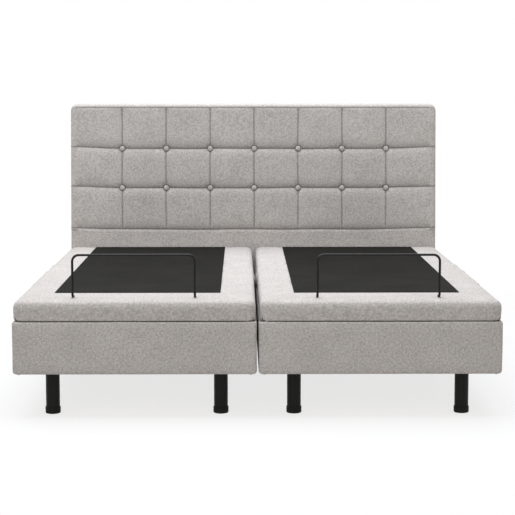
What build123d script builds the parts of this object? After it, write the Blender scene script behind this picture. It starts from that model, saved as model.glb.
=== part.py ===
from build123d import *
import os
from math import cos, hypot, radians, sin, sqrt

# A pair of motorised bed bases, side by side, that share one upholstered headboard.
# Millimetres. X runs across the bed, Y from the foot to the headboard, Z up from the floor.

# ---------------------------------------------------------------- driving dimensions
unit_width = 896
unit_gap = 8
bed_length = 2000
headboard_depth = 90
headboard_width = 1796
headboard_top = 1137
headboard_corner = 35
headboard_panel_thick = 20

box_bottom = 165
box_top = 360
deck_bottom = 363
deck_top = 441
cover_thick = 5
cover_lip = 4
cover_corner = 14
rail_board = 20
section_board_thick = 15
pad_wrap = 12
pad_round = 15
pad_corner = 30

back_hinge_y = 175
thigh_hinge_y = -75
knee_y = -495
top_hinge_z = 424
knee_z = 353
section_gap = 10
head_clearance = 5
ear_side_play = 1
ear_notch_headroom = 2
bore_play = 1
roller_side_play = 2
foot_gear_inset = 120
head_gear_inset = 130
spindle_end_gap = 6
lead_runs = 10
lead_corner_share = 0.45

leg_diameter = 52
leg_inset_side = 133
leg_inset_end = 120
cap_diameter = 57
cap_height = 24
cap_floor = 6
leg_plate_diameter = 80
leg_stud_diameter = 10
leg_stud_length = 30
leg_board_width = 190

frame_rail_x = 391
frame_rail_width = 30
frame_rail_bottom = 290
frame_rail_top = 330
cross_tube_width = 40
cross_tube_height = 20
seat_cross_y = (-40, 140)

ear_thick = 6
ear_radius = 10
fixed_ear_x = 391
pin_diameter = 10
pin_head_diameter = 15
pin_head_thick = 3
running_clearance = 0.05
ear_notch_reach = 15
ear_notch_x = (379, 410)

section_rail_height = 20
section_rail_width = 20
outer_rail_x = 405
calf_rail_x = 384
section_rail_end_gap = 25

shaft_offset_y = 100
shaft_z = 280
shaft_diameter = 25
shaft_half_length = 372
arm_length = 220
arm_rise = 56
arm_x = 150
arm_thick = 12
arm_hub_radius = 22
arm_tip_radius = 12
roller_diameter = 40
roller_width = 24
roller_pin_diameter = 12
roller_clearance = 0.3
runner_strip_thick = 6
back_travel = 60
leg_travel = 35

lever_length = 45
lever_half_width = 5
lever_nose_radius = 12
lever_x = 20
lever_thick = 8
slider_length = 40
slider_half_width = 30
slider_bottom = 220
slider_top = 250
slider_play = 0.8
spindle_z = 235
spindle_diameter = 12
spindle_play = 0.5

casing_half_width = 60
casing_bottom = 212
casing_top = 310
casing_wall = 4
casing_overhang = 40
shaft_slot_width = 32
gear_block_length = 25
gear_block_bottom = 218
gear_block_top = 290
motor_diameter = 52
motor_length = 88
motor_z = 262
lead_diameter = 7

bearing_thick = 24
bearing_half_length = 25
bearing_bottom = 255

link_pivot_y = -425
link_pivot_z = 320
link_x = 363
link_thick = 8
link_radius = 12
link_bracket_thick = 6
link_open_play = 0.5

bar_diameter = 9
bar_width = 460
bar_offset = -5
bar_height = 165
bar_setback = 60
bar_foot_reach = 40
bar_top_radius = 24
bar_foot_radius = 14
bar_lift = 1

button_diameter = 25
button_thick = 9
button_pitch = 216
button_rows = (727, 919)
buttons_across = 7
button_pocket_diameter = 42
button_pocket_depth = 14
button_shank_diameter = 5

headboard_bolt_x = 300
headboard_bolt_rows = (205, 275)
bolt_diameter = 8
bolt_head_diameter = 13
bolt_head_thick = 6
washer_diameter = 24
washer_thick = 2
bolt_grip_in_panel = 12
spacer_diameter = 25

supply_size = (170, 70, 45)
supply_bottom = 198
inlet_size = (22, 12, 14)
lead_exit_z = 220
lead_entry_z = 250
lead_sag = 30

# ---------------------------------------------------------------- worked-out places
foot_y = -(bed_length + headboard_depth) / 2
head_y = foot_y + bed_length
rear_y = head_y + headboard_depth
unit_mid = (unit_width + unit_gap) / 2
unit_half = unit_width / 2
panel_y = rear_y - headboard_panel_thick
inner_half = unit_half - cover_thick - rail_board
inner_foot_y = foot_y + cover_thick + rail_board
inner_head_y = head_y - cover_thick - rail_board
frame_mid_y = (foot_y + head_y) / 2
rail_inner_x = frame_rail_x - frame_rail_width / 2
section_rail_bottom = deck_bottom - section_rail_height
roller_radius = roller_diameter / 2
arm_reach = sqrt(arm_length**2 - arm_rise**2)
hinge_to_shaft = hypot(shaft_offset_y, top_hinge_z - shaft_z)
runner_radius = hinge_to_shaft - roller_radius - roller_clearance
runner_near_reach = 0.55 * runner_radius
runner_far_reach = 0.6 * runner_radius
head_shaft_y = back_hinge_y + shaft_offset_y
foot_shaft_y = thigh_hinge_y - shaft_offset_y
link_drop = link_pivot_z - top_hinge_z
link_shift = link_pivot_y - thigh_hinge_y
link_end_y = knee_y + link_shift
link_end_z = knee_z + link_drop
casing_y = (foot_shaft_y - casing_overhang, head_shaft_y + casing_overhang)

os.makedirs("parts", exist_ok=True)


def save(piece, name):
    """Label a finished piece and write it."""
    piece.part.label = name
    export_step(piece.part, f"parts/{name}.step")


def block(x_range, y_range, z_range, mode=Mode.ADD):
    """A block between two limits on each axis."""
    ends = (x_range, y_range, z_range)
    middle = Vector(*[(low + high) / 2 for low, high in ends])
    with Locations(middle):
        Box(*[high - low for low, high in ends], mode=mode)


def both_sides(x_mid, x_low, x_high):
    """The X limits of a piece and of its mirror image about a unit's middle."""
    return ((x_mid + x_low, x_mid + x_high), (x_mid - x_high, x_mid - x_low))


def rod_x(x_range, y, z, diameter, mode=Mode.ADD):
    """A round bar or hole along X."""
    with BuildSketch(Plane.YZ.offset(x_range[0])) as section:
        with Locations((y, z)):
            Circle(diameter / 2)
    extrude(section.sketch, amount=x_range[1] - x_range[0], mode=mode)


def rod_y(x, y_range, z, diameter, mode=Mode.ADD):
    """A round bar or hole along Y."""
    with BuildSketch(Plane.XZ.offset(-y_range[0])) as section:
        with Locations((x, z)):
            Circle(diameter / 2)
    extrude(section.sketch, amount=-(y_range[1] - y_range[0]), mode=mode)


# ---------------------------------------------------------------- headboard
def bolt_places():
    """X and Z of every bolt that holds a unit to the headboard."""
    columns = [side * unit_mid + offset for side in (-1, 1) for offset in (-headboard_bolt_x, headboard_bolt_x)]
    return [(x, z) for x in columns for z in headboard_bolt_rows]


def button_places():
    """X and Z of every tufting button."""
    first = -(buttons_across - 1) / 2 * button_pitch
    return [(first + column * button_pitch, z) for column in range(buttons_across) for z in button_rows]


def headboard_slab(y_range):
    """A slab with the headboard's outline: square feet and two round upper corners."""
    half = headboard_width / 2
    with BuildSketch(Plane.XZ.offset(-y_range[0])) as outline:
        with BuildLine():
            FilletPolyline(
                (-half, box_bottom),
                (-half, headboard_top),
                (half, headboard_top),
                (half, box_bottom),
                radius=headboard_corner,
            )
            Line((half, box_bottom), (-half, box_bottom))
        make_face()
    extrude(outline.sketch, amount=-(y_range[1] - y_range[0]))


def make_headboard():
    """The plywood panel, its foam pad, the tufting buttons, and the bolts with their spacer tubes."""
    bolt_tip_y = panel_y + bolt_grip_in_panel
    with BuildPart() as panel:
        headboard_slab((panel_y, rear_y))
        for x, z in bolt_places():
            rod_y(x, (panel_y, bolt_tip_y), z, bolt_diameter, Mode.SUBTRACT)
    save(panel, "headboard_panel")

    with BuildPart() as pad:
        headboard_slab((head_y, panel_y))
        for x, z in bolt_places():
            rod_y(x, (head_y, panel_y), z, spacer_diameter, Mode.SUBTRACT)
        for x, z in button_places():
            rod_y(x, (head_y, panel_y), z, button_shank_diameter, Mode.SUBTRACT)
            rod_y(x, (head_y, head_y + button_pocket_depth), z, button_pocket_diameter, Mode.SUBTRACT)
    save(pad, "headboard_pad")

    seat_y = head_y + button_pocket_depth
    with BuildPart() as buttons:
        for x, z in button_places():
            rod_y(x, (seat_y - button_thick, seat_y), z, button_diameter)
            rod_y(x, (seat_y, panel_y), z, button_shank_diameter)
    save(buttons, "headboard_buttons")

    washer_y = inner_head_y - washer_thick
    with BuildPart() as bolts:
        for x, z in bolt_places():
            rod_y(x, (washer_y - bolt_head_thick, washer_y), z, bolt_head_diameter)
            rod_y(x, (washer_y, inner_head_y), z, washer_diameter)
            rod_y(x, (head_y, panel_y), z, spacer_diameter)
            rod_y(x, (head_y, panel_y), z, bolt_diameter + bore_play, Mode.SUBTRACT)
            rod_y(x, (washer_y, bolt_tip_y), z, bolt_diameter)
    save(bolts, "headboard_bolts")


# ---------------------------------------------------------------- box and legs
def leg_places(x_mid):
    """X and Y of a unit's four legs."""
    across = unit_half - leg_inset_side
    along = (foot_y + leg_inset_end, head_y - leg_inset_end)
    return [(x_mid + side * across, y) for side in (-1, 1) for y in along]


def make_box(side, x_mid):
    """The timber box frame with its two leg boards, and the fabric cover stretched over it."""
    frame_bottom = box_bottom + cover_lip
    frame_top = box_top - cover_lip
    board_top = frame_bottom + rail_board
    half = unit_half - cover_thick
    outer_foot = foot_y + cover_thick
    outer_head = head_y - cover_thick
    with BuildPart() as frame:
        block((x_mid - half, x_mid + half), (outer_foot, outer_head), (frame_bottom, frame_top))
        block(
            (x_mid - inner_half, x_mid + inner_half),
            (inner_foot_y, inner_head_y),
            (frame_bottom, frame_top),
            Mode.SUBTRACT,
        )
        for y_low in (inner_foot_y, inner_head_y - leg_board_width):
            block((x_mid - inner_half, x_mid + inner_half), (y_low, y_low + leg_board_width), (frame_bottom, board_top))
        with Locations([(x, y, board_top) for x, y in leg_places(x_mid)]):
            Hole(leg_stud_diameter / 2, depth=rail_board)
        for x, z in bolt_places():
            if abs(x - x_mid) < unit_half:
                rod_y(x, (inner_head_y, outer_head), z, bolt_diameter, Mode.SUBTRACT)
    save(frame, f"{side}_box_frame")

    with BuildPart() as cover:
        with BuildSketch(Plane.XY.offset(box_bottom)):
            with Locations((x_mid, frame_mid_y)):
                RectangleRounded(unit_width, bed_length, cover_corner)
        extrude(amount=box_top - box_bottom)
        block((x_mid - half, x_mid + half), (outer_foot, outer_head), (frame_bottom, frame_top), Mode.SUBTRACT)
        block(
            (x_mid - inner_half, x_mid + inner_half),
            (inner_foot_y, inner_head_y),
            (box_bottom, box_top),
            Mode.SUBTRACT,
        )
        for x, z in bolt_places():
            if abs(x - x_mid) < unit_half:
                rod_y(x, (outer_head, head_y), z, bolt_diameter, Mode.SUBTRACT)
    save(cover, f"{side}_box_cover")


def make_legs(side, x_mid):
    """Four round legs, each with a top plate and a threaded stud through its leg board."""
    plate_top = box_bottom + cover_lip
    with BuildPart() as legs:
        for x, y in leg_places(x_mid):
            with BuildSketch(Plane.XY.offset(cap_floor)):
                with Locations((x, y)):
                    Circle(leg_diameter / 2)
            extrude(amount=box_bottom - cap_floor)
            with BuildSketch(Plane.XY.offset(box_bottom)):
                with Locations((x, y)):
                    Circle(leg_plate_diameter / 2)
            extrude(amount=cover_lip)
            with BuildSketch(Plane.XY.offset(plate_top)):
                with Locations((x, y)):
                    Circle(leg_stud_diameter / 2)
            extrude(amount=leg_stud_length)
    save(legs, f"{side}_legs")


def make_leg_caps():
    """The moulded foot of every leg, a cup with a rounded rim that stands on the floor."""
    places = leg_places(-unit_mid) + leg_places(unit_mid)
    with BuildPart() as caps:
        with Locations([(x, y, 0) for x, y in places]):
            Cylinder(cap_diameter / 2, cap_height, align=(Align.CENTER, Align.CENTER, Align.MIN))
        fillet(caps.edges().filter_by(GeomType.CIRCLE).group_by(Axis.Z)[0], cap_floor - 1)
        with Locations([(x, y, cap_floor) for x, y in places]):
            Cylinder(
                leg_diameter / 2,
                cap_height - cap_floor,
                align=(Align.CENTER, Align.CENTER, Align.MIN),
                mode=Mode.SUBTRACT,
            )
    save(caps, "leg_caps")


# ---------------------------------------------------------------- steel main frame
def standing_ear(x_range, y, z_low):
    """An upright hinge ear with a round top about a deck hinge's axis."""
    block(x_range, (y - ear_radius, y + ear_radius), (z_low, top_hinge_z))
    rod_x(x_range, y, top_hinge_z, 2 * ear_radius)


def make_main_frame(side, x_mid):
    """Two long rails, four cross tubes, seat posts, fixed hinge ears and the brackets of the calf links."""
    half_ear = ear_thick / 2
    half_tube = cross_tube_width / 2
    tube_bottom = frame_rail_top - cross_tube_height
    cross_y = (inner_foot_y + half_tube, *seat_cross_y, inner_head_y - half_tube)
    bracket_x = (rail_inner_x - link_bracket_thick, rail_inner_x)
    pin_x = (link_x - link_thick / 2, rail_inner_x)
    with BuildPart() as frame:
        for x_range in both_sides(x_mid, rail_inner_x, rail_inner_x + frame_rail_width):
            block(x_range, (inner_foot_y, inner_head_y), (frame_rail_bottom, frame_rail_top))
        for y in cross_y:
            block(
                (x_mid - rail_inner_x, x_mid + rail_inner_x),
                (y - half_tube, y + half_tube),
                (tube_bottom, frame_rail_top),
            )
        for y in seat_cross_y:
            for x_range in both_sides(x_mid, arm_x, arm_x + cross_tube_width):
                block(x_range, (y - half_tube, y + half_tube), (frame_rail_top, deck_bottom))
        for x_range in both_sides(x_mid, fixed_ear_x - half_ear, fixed_ear_x + half_ear):
            for y in (thigh_hinge_y, back_hinge_y):
                standing_ear(x_range, y, frame_rail_top)
                rod_x(x_range, y, top_hinge_z, pin_diameter, Mode.SUBTRACT)
        for x_range in both_sides(x_mid, *bracket_x):
            block(
                x_range,
                (link_pivot_y - link_radius, link_pivot_y + link_radius),
                (link_pivot_z - link_radius, frame_rail_top),
            )
        for x_range in both_sides(x_mid, *pin_x):
            rod_x(x_range, link_pivot_y, link_pivot_z, pin_diameter)
    save(frame, f"{side}_main_frame")


def make_shaft_bearings():
    """A bearing block at both ends of every lift shaft, bolted to the inner face of a main rail."""
    bore = shaft_diameter + 2 * running_clearance
    with BuildPart() as bearings:
        for x_mid in (-unit_mid, unit_mid):
            for x_range in both_sides(x_mid, rail_inner_x - bearing_thick, rail_inner_x):
                for y in (foot_shaft_y, head_shaft_y):
                    block(
                        x_range,
                        (y - bearing_half_length, y + bearing_half_length),
                        (bearing_bottom, frame_rail_top),
                    )
                    rod_x(x_range, y, shaft_z, bore, Mode.SUBTRACT)
    save(bearings, "shaft_bearings")


def make_hinge_pins():
    """A headed pin through every pair of deck hinge ears."""
    inner = fixed_ear_x - ear_thick / 2 - ear_side_play
    outer = fixed_ear_x + ear_thick * 3 / 2 + 2 * ear_side_play
    with BuildPart() as pins:
        for x_mid in (-unit_mid, unit_mid):
            for y in (thigh_hinge_y, back_hinge_y):
                for x_range in both_sides(x_mid, inner, outer):
                    rod_x(x_range, y, top_hinge_z, pin_diameter)
                for x_range in both_sides(x_mid, inner - pin_head_thick, inner):
                    rod_x(x_range, y, top_hinge_z, pin_head_diameter)
                for x_range in both_sides(x_mid, outer, outer + pin_head_thick):
                    rod_x(x_range, y, top_hinge_z, pin_head_diameter)
    save(pins, "hinge_pins")


# ---------------------------------------------------------------- deck sections
def ear_notches(x_mid, hinge_ys):
    """The pockets in a pad's underside that hold the hinge ears and their pins."""
    for y in hinge_ys:
        for x_range in both_sides(x_mid, *ear_notch_x):
            block(
                x_range,
                (y - ear_notch_reach, y + ear_notch_reach),
                (deck_bottom, top_hinge_z + ear_radius + ear_notch_headroom),
                Mode.SUBTRACT,
            )


def make_section(name, x_mid, y_range, hinge_ys, outer_end=0):
    """A deck section: its board, and the padded cover that wraps the board's edges.

    outer_end is -1 where the section ends at the foot, 1 at the head and 0 between hinges.
    """
    board_x = (x_mid - unit_half + pad_wrap, x_mid + unit_half - pad_wrap)
    board_y = (y_range[0] + pad_wrap, y_range[1] - pad_wrap)
    board_z = (deck_bottom, deck_bottom + section_board_thick)
    holes = bar_foot_places(x_mid) if outer_end < 0 else []
    with BuildPart() as board:
        block(board_x, board_y, board_z)
        for x, y in holes:
            with Locations((x, y, board_z[1])):
                Hole(bar_diameter / 2, depth=section_board_thick)
    save(board, f"{name}_board")

    with BuildPart() as pad:
        block((x_mid - unit_half, x_mid + unit_half), y_range, (deck_bottom, deck_top))
        if outer_end:
            uprights = pad.edges().filter_by(Axis.Z).sort_by(Axis.Y)
            fillet(uprights[:2] if outer_end < 0 else uprights[-2:], pad_corner)
        fillet(pad.faces().sort_by(Axis.Z)[-1].edges(), pad_round)
        block(board_x, board_y, board_z, Mode.SUBTRACT)
        ear_notches(x_mid, hinge_ys)
        for x, y in holes:
            with Locations((x, y, deck_top)):
                Hole(bar_diameter / 2, depth=deck_top - deck_bottom)
            block(
                (x - bar_diameter / 2, x + bar_diameter / 2),
                (y - bar_foot_radius, y + bar_diameter / 2),
                (deck_top - bar_foot_radius, deck_top),
                Mode.SUBTRACT,
            )
    save(pad, f"{name}_pad")


def ladder(x_mid, rail_x, y_range, cross_ys):
    """Two side rails under a section, joined by cross bars centred on the given places."""
    half = section_rail_width / 2
    z_range = (section_rail_bottom, deck_bottom)
    for x_range in both_sides(x_mid, rail_x - half, rail_x + half):
        block(x_range, y_range, z_range)
    for y in cross_ys:
        block((x_mid - rail_x, x_mid + rail_x), (y - half, y + half), z_range)


def runners(x_mid, hinge_y, toward, cross_y):
    """Curved runners that the lift rollers roll along.

    A roller keeps a fixed distance from a centre that stands off the hinge by one arm, so each
    runner's lower face is an arc about that centre. toward is 1 for the back and -1 for the thighs.
    """
    centre = (hinge_y + toward * arm_reach, top_hinge_z + arm_rise)
    near = hinge_y + toward * (arm_reach - runner_near_reach)
    far = hinge_y + toward * (arm_reach + runner_far_reach)
    low = centre[1] - runner_radius - bore_play
    for x_range in both_sides(x_mid, *roller_x_range()):
        with BuildSketch(Plane.YZ.offset(x_range[0])) as section:
            with Locations(centre):
                Circle(runner_radius)
            with Locations(((near + far) / 2, (low + deck_bottom) / 2)):
                Rectangle(abs(far - near), deck_bottom - low, mode=Mode.INTERSECT)
        extrude(section.sketch, amount=x_range[1] - x_range[0])
        block(x_range, tuple(sorted((near, cross_y))), (deck_bottom - runner_strip_thick, deck_bottom))


def roller_x_range():
    """The X limits of a roller and its runner, from a unit's middle."""
    inner = arm_x + arm_thick / 2 + roller_side_play
    return (inner, inner + roller_width)


def hanging_ears(x_mid, y):
    """The moving half of a deck hinge: ears that rise from a section's rails beside the fixed ears."""
    inner = fixed_ear_x + ear_thick / 2 + ear_side_play
    for x_range in both_sides(x_mid, inner, inner + ear_thick):
        standing_ear(x_range, y, section_rail_bottom)
        rod_x(x_range, y, top_hinge_z, pin_diameter + 2 * running_clearance, Mode.SUBTRACT)


def make_back_frame(side, x_mid):
    """The steel frame under the back section, with its hinge ears and runners."""
    cross_y = back_hinge_y + arm_reach + runner_radius
    far_cross_y = head_y - section_rail_end_gap - cross_tube_width
    with BuildPart() as frame:
        ladder(
            x_mid,
            outer_rail_x,
            (back_hinge_y - ear_radius, head_y - section_rail_end_gap - section_rail_width),
            (cross_y, far_cross_y),
        )
        runners(x_mid, back_hinge_y, 1, cross_y)
        hanging_ears(x_mid, back_hinge_y)
    save(frame, f"{side}_back_frame")


def make_thigh_frame(side, x_mid):
    """The steel frame under the thigh section, with hinge ears, runners and the studs of the knee."""
    cross_y = knee_y + cross_tube_width * 3 / 2
    half_bar = section_rail_height / 2
    with BuildPart() as frame:
        ladder(x_mid, outer_rail_x, (knee_y, thigh_hinge_y + ear_radius), (cross_y,))
        runners(x_mid, thigh_hinge_y, -1, cross_y)
        hanging_ears(x_mid, thigh_hinge_y)
        for x_range in both_sides(x_mid, outer_rail_x - half_bar, outer_rail_x + half_bar):
            rod_x(x_range, knee_y, knee_z, section_rail_height)
        for x_range in both_sides(x_mid, calf_rail_x - half_bar - pin_head_thick, outer_rail_x - half_bar):
            rod_x(x_range, knee_y, knee_z, pin_diameter)
    save(frame, f"{side}_thigh_frame")


def make_calf_frame(side, x_mid):
    """The steel frame under the calf section, hung from the knee, with the brackets of its links."""
    half = section_rail_width / 2
    rail_end_y = foot_y + section_rail_end_gap
    rail_x = (calf_rail_x - half, calf_rail_x + half - 1)
    cross_ys = (knee_y - cross_tube_width * 2, rail_end_y + cross_tube_width)
    bracket_x = (rail_x[0] - link_bracket_thick, rail_x[0])
    with BuildPart() as frame:
        for x_range in both_sides(x_mid, *rail_x):
            block(x_range, (rail_end_y, knee_y), (section_rail_bottom, deck_bottom))
            rod_x(x_range, knee_y, knee_z, section_rail_height)
            rod_x(x_range, knee_y, knee_z, pin_diameter + 2 * running_clearance, Mode.SUBTRACT)
        for y in cross_ys:
            block(
                (x_mid - rail_x[0], x_mid + rail_x[0]),
                (y - half, y + half),
                (section_rail_bottom, deck_bottom),
            )
        for x_range in both_sides(x_mid, *bracket_x):
            block(
                x_range,
                (link_end_y - link_radius, link_end_y + link_radius),
                (link_end_z, deck_bottom),
            )
            rod_x(x_range, link_end_y, link_end_z, 2 * link_radius)
        for x_range in both_sides(x_mid, link_x - link_thick / 2, bracket_x[0]):
            rod_x(x_range, link_end_y, link_end_z, pin_diameter)
    save(frame, f"{side}_calf_frame")


def make_calf_link(side, x_mid):
    """The pair of flat links that keep the calf section level while the thighs rise."""
    with BuildPart() as link:
        for x_range in both_sides(x_mid, link_x - link_thick / 2, link_x + link_thick / 2):
            with BuildSketch(Plane.YZ.offset(x_range[0])):
                with Locations((link_pivot_y, link_pivot_z), (link_end_y, link_end_z)):
                    Circle(link_radius)
                make_hull()
                with Locations((link_pivot_y, link_pivot_z)):
                    Circle(pin_diameter / 2 + running_clearance, mode=Mode.SUBTRACT)
                with Locations((link_end_y, link_end_z)):
                    Circle(pin_diameter / 2 + link_open_play, mode=Mode.SUBTRACT)
            extrude(amount=link_thick)
    save(link, f"{side}_calf_link")


# ---------------------------------------------------------------- retainer bar
def bar_foot_places(x_mid):
    """X and Y of the holes that the retainer bar's two feet go down into."""
    half = (bar_width - bar_diameter) / 2
    y = foot_y + bar_setback + bar_foot_reach
    return [(x_mid + bar_offset + side * half, y) for side in (-1, 1)]


def make_retainer_bar(side, x_mid):
    """The bent rod that keeps the mattress from sliding off the foot end."""
    standing_y = foot_y + bar_setback
    rest_z = deck_top + bar_lift + bar_diameter / 2
    top_z = deck_top + bar_height - bar_diameter / 2
    left, right = bar_foot_places(x_mid)
    route = [
        (left[0], left[1], deck_bottom),
        (left[0], left[1], rest_z),
        (left[0], standing_y, rest_z),
        (left[0], standing_y, top_z),
        (right[0], standing_y, top_z),
        (right[0], standing_y, rest_z),
        (right[0], right[1], rest_z),
        (right[0], right[1], deck_bottom),
    ]
    bends = [bar_foot_radius, bar_foot_radius, bar_top_radius]
    with BuildPart() as bar:
        with BuildLine():
            FilletPolyline(route, radius=bends + bends[::-1])
        with BuildSketch(Plane(origin=route[0], z_dir=(0, 0, 1))):
            Circle(bar_diameter / 2)
        sweep()
    save(bar, f"{side}_retainer_bar")


# ---------------------------------------------------------------- lift drive
def lever_outline(hub, nose):
    """A push lever, narrow along its length, with a round nose."""
    across = (nose[1] - hub[1], hub[0] - nose[0])
    scale = lever_half_width / hypot(*across)
    shift = (across[0] * scale, across[1] * scale)
    with BuildLine() as edge:
        Polyline(
            (hub[0] + shift[0], hub[1] + shift[1]),
            (nose[0] + shift[0], nose[1] + shift[1]),
            (nose[0] - shift[0], nose[1] - shift[1]),
            (hub[0] - shift[0], hub[1] - shift[1]),
            close=True,
        )
    make_face(edge.edges())
    with Locations(nose):
        Circle(lever_nose_radius)


def lever_nose(shaft_y, toward, travel):
    """Y and Z of a lever's nose at rest, half its travel before it hangs straight down."""
    lean = radians(travel / 2)
    return (shaft_y - toward * lever_length * sin(lean), shaft_z - lever_length * cos(lean))


def make_lift_shaft(name, x_mid, shaft_y, toward, travel):
    """A cross shaft with its two lift arms, their roller pins and the two push levers."""
    tip = (shaft_y + toward * arm_reach, shaft_z + arm_rise)
    nose = lever_nose(shaft_y, toward, travel)
    roller_x = roller_x_range()
    with BuildPart() as shaft:
        rod_x((x_mid - shaft_half_length, x_mid + shaft_half_length), shaft_y, shaft_z, shaft_diameter)
        for x_range in both_sides(x_mid, arm_x - arm_thick / 2, arm_x + arm_thick / 2):
            with BuildSketch(Plane.YZ.offset(x_range[0])):
                with Locations((shaft_y, shaft_z)):
                    Circle(arm_hub_radius)
                with Locations(tip):
                    Circle(arm_tip_radius)
                make_hull()
            extrude(amount=arm_thick)
        for x_range in both_sides(x_mid, arm_x, roller_x[1] + roller_side_play):
            rod_x(x_range, *tip, roller_pin_diameter)
        for x_range in both_sides(x_mid, lever_x - lever_thick / 2, lever_x + lever_thick / 2):
            with BuildSketch(Plane.YZ.offset(x_range[0])):
                lever_outline((shaft_y, shaft_z), nose)
            extrude(amount=lever_thick)
    save(shaft, f"{name}_lift_shaft")

    with BuildPart() as rollers:
        for x_range in both_sides(x_mid, *roller_x):
            rod_x(x_range, *tip, roller_diameter)
            rod_x(x_range, *tip, roller_pin_diameter + 2 * running_clearance, Mode.SUBTRACT)
    save(rollers, f"{name}_rollers")

    face_y = nose[0] - toward * (lever_nose_radius + slider_play)
    back_y = face_y - toward * slider_length
    with BuildPart() as slider:
        block(
            (x_mid - slider_half_width, x_mid + slider_half_width),
            tuple(sorted((face_y, back_y))),
            (slider_bottom, slider_top),
        )
        rod_y(
            x_mid,
            tuple(sorted((face_y, back_y))),
            spindle_z,
            spindle_diameter + 2 * spindle_play,
            Mode.SUBTRACT,
        )
    save(slider, f"{name}_slider")


def gear_block_places():
    """Y limits of the gear blocks that turn the foot spindle and the head spindle."""
    foot_end = casing_y[0] + foot_gear_inset
    head_end = casing_y[1] - head_gear_inset
    return ((foot_end, foot_end + gear_block_length), (head_end - gear_block_length, head_end))


def make_casing(side, x_mid):
    """The open tray of the twin drive, with slots that let both lift shafts through."""
    x_range = (x_mid - casing_half_width, x_mid + casing_half_width)
    lid_bottom = casing_top - casing_wall
    with BuildPart() as casing:
        block(x_range, casing_y, (casing_bottom, lid_bottom))
        block(
            (x_range[0] + casing_wall, x_range[1] - casing_wall),
            (casing_y[0] + casing_wall, casing_y[1] - casing_wall),
            (casing_bottom + casing_wall, lid_bottom),
            Mode.SUBTRACT,
        )
        for y in (foot_shaft_y, head_shaft_y):
            rod_x(x_range, y, shaft_z, shaft_slot_width, Mode.SUBTRACT)
            block(
                x_range,
                (y - shaft_slot_width / 2, y + shaft_slot_width / 2),
                (shaft_z, lid_bottom),
                Mode.SUBTRACT,
            )
    save(casing, f"{side}_drive_casing")


def make_drive_lids():
    """The flat lid of each twin drive."""
    with BuildPart() as lids:
        for x_mid in (-unit_mid, unit_mid):
            block(
                (x_mid - casing_half_width, x_mid + casing_half_width),
                casing_y,
                (casing_top - casing_wall, casing_top),
            )
    save(lids, "drive_lids")


def make_drive_motors():
    """Two motors with their gear blocks in each twin drive."""
    foot_gear, head_gear = gear_block_places()
    with BuildPart() as motors:
        for x_mid in (-unit_mid, unit_mid):
            for gear in (foot_gear, head_gear):
                block(
                    (x_mid - slider_half_width, x_mid + slider_half_width),
                    gear,
                    (gear_block_bottom, gear_block_top),
                )
            rod_y(x_mid, (foot_gear[1], foot_gear[1] + motor_length), motor_z, motor_diameter)
            rod_y(x_mid, (head_gear[0] - motor_length, head_gear[0]), motor_z, motor_diameter)
    save(motors, "drive_motors")


def make_drive_spindles():
    """The threaded spindle that carries each slide block."""
    foot_gear, head_gear = gear_block_places()
    end_gap = casing_wall + spindle_end_gap
    with BuildPart() as spindles:
        for x_mid in (-unit_mid, unit_mid):
            rod_y(x_mid, (casing_y[0] + end_gap, foot_gear[0]), spindle_z, spindle_diameter)
            rod_y(x_mid, (head_gear[1], casing_y[1] - end_gap), spindle_z, spindle_diameter)
    save(spindles, "drive_spindles")


# ---------------------------------------------------------------- power
def make_power_supplies():
    """The power supply on each unit's head rail, with its mains inlet in the underside."""
    length, depth, height = supply_size
    with BuildPart() as supplies:
        for x_mid in (-unit_mid, unit_mid):
            block(
                (x_mid - length / 2, x_mid + length / 2),
                (inner_head_y - depth, inner_head_y),
                (supply_bottom, supply_bottom + height),
            )
            middle_y = inner_head_y - depth / 2
            block(
                (x_mid - inlet_size[0] / 2, x_mid + inlet_size[0] / 2),
                (middle_y - inlet_size[1] / 2, middle_y + inlet_size[1] / 2),
                (supply_bottom, supply_bottom + inlet_size[2]),
                Mode.SUBTRACT,
            )
    save(supplies, "power_supplies")


def corner_radii(route):
    """The radius at each corner of a lead, from its shorter run and the tangent of half the turn."""
    points = [Vector(*point) for point in route]
    radii = []
    for before, corner, after in zip(points, points[1:], points[2:]):
        run_in = corner - before
        run_out = after - corner
        half_turn = radians(run_in.get_angle(run_out) / 2)
        shorter = min(run_in.length, run_out.length)
        radii.append(lead_corner_share * shorter * cos(half_turn) / sin(half_turn))
    return radii


def make_drive_leads():
    """The lead that hangs in a shallow curve from each power supply to its twin drive."""
    start_y = inner_head_y - supply_size[1]
    span = start_y - casing_y[1]
    with BuildPart() as leads:
        for x_mid in (-unit_mid, unit_mid):
            route = []
            for step in range(lead_runs + 1):
                along = min(max((step - 1) / (lead_runs - 2), 0), 1)
                level = lead_exit_z + (lead_entry_z - lead_exit_z) * along
                hang = 4 * along * (1 - along) * lead_sag
                route.append((x_mid, start_y - span * step / lead_runs, level - hang))
            radii = corner_radii(route)
            with BuildLine():
                FilletPolyline(route, radius=radii)
            with BuildSketch(Plane(origin=route[0], z_dir=Vector(*route[1]) - Vector(*route[0]))):
                Circle(lead_diameter / 2)
            sweep()
    save(leads, "drive_leads")


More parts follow.
